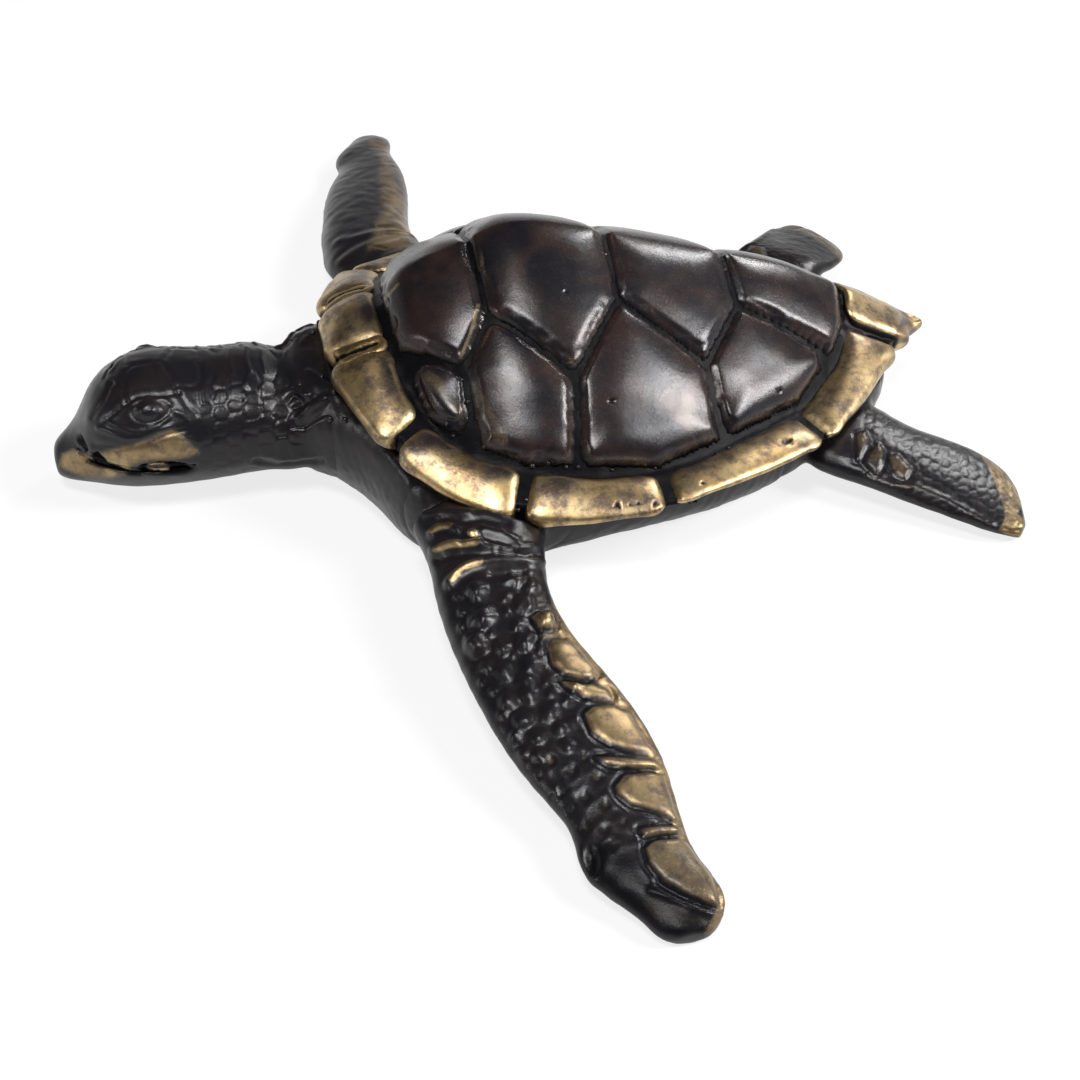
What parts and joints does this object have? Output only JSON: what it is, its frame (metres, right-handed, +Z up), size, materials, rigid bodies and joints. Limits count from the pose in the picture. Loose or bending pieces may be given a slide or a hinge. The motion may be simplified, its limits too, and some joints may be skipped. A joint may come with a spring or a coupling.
{
  "type": "turtle figurine",
  "caption": "Cast bronze sea turtle ornament in a swimming pose, with a plated shell, spread flippers and a flat belly to rest on.",
  "frame": {"origin": "middle of the flat belly, on the surface that the figurine stands on, below the middle of the shell", "axes": "+X towards the tail, +Y towards the turtle's right side, +Z up"},
  "size_m": [0.174, 0.2459, 0.0463],
  "materials": {
    "groove_patina": "black cast surface in the grooves, slightly rough",
    "skin_patina": "dark brown-black patina over scaly skin, glossy on the high spots",
    "plate_patina": "polished dark red-brown patina",
    "rubbed_brass": "patina rubbed through to polished brass, dark in its pits"
  },
  "bodies": {
    "root": {"carapace": "groove_patina", "body": "skin_patina", "head_and_neck": "skin_patina", "front_left_flipper": "skin_patina", "front_right_flipper": "skin_patina", "rear_left_flipper": "skin_patina", "rear_right_flipper": "skin_patina", "tail": "skin_patina", "vertebral_plate_1": "plate_patina", "vertebral_plate_2": "plate_patina", "vertebral_plate_3": "plate_patina", "vertebral_plate_4": "plate_patina", "costal_plate_left_1": "plate_patina", "costal_plate_left_2": "plate_patina", "costal_plate_left_3": "plate_patina", "costal_plate_left_4": "plate_patina", "costal_plate_right_1": "plate_patina", "costal_plate_right_2": "plate_patina", "costal_plate_right_3": "plate_patina", "costal_plate_right_4": "plate_patina", "nape_plate": "rubbed_brass", "tail_plate": "rubbed_brass", "rim_plate_left_1": "rubbed_brass", "rim_plate_left_2": "rubbed_brass", "rim_plate_left_3": "rubbed_brass", "rim_plate_left_4": "rubbed_brass", "rim_plate_left_5": "rubbed_brass", "rim_plate_right_1": "rubbed_brass", "rim_plate_right_2": "rubbed_brass", "rim_plate_right_3": "rubbed_brass", "rim_plate_right_4": "rubbed_brass", "rim_plate_right_5": "rubbed_brass"}
  },
  "joints": []
}
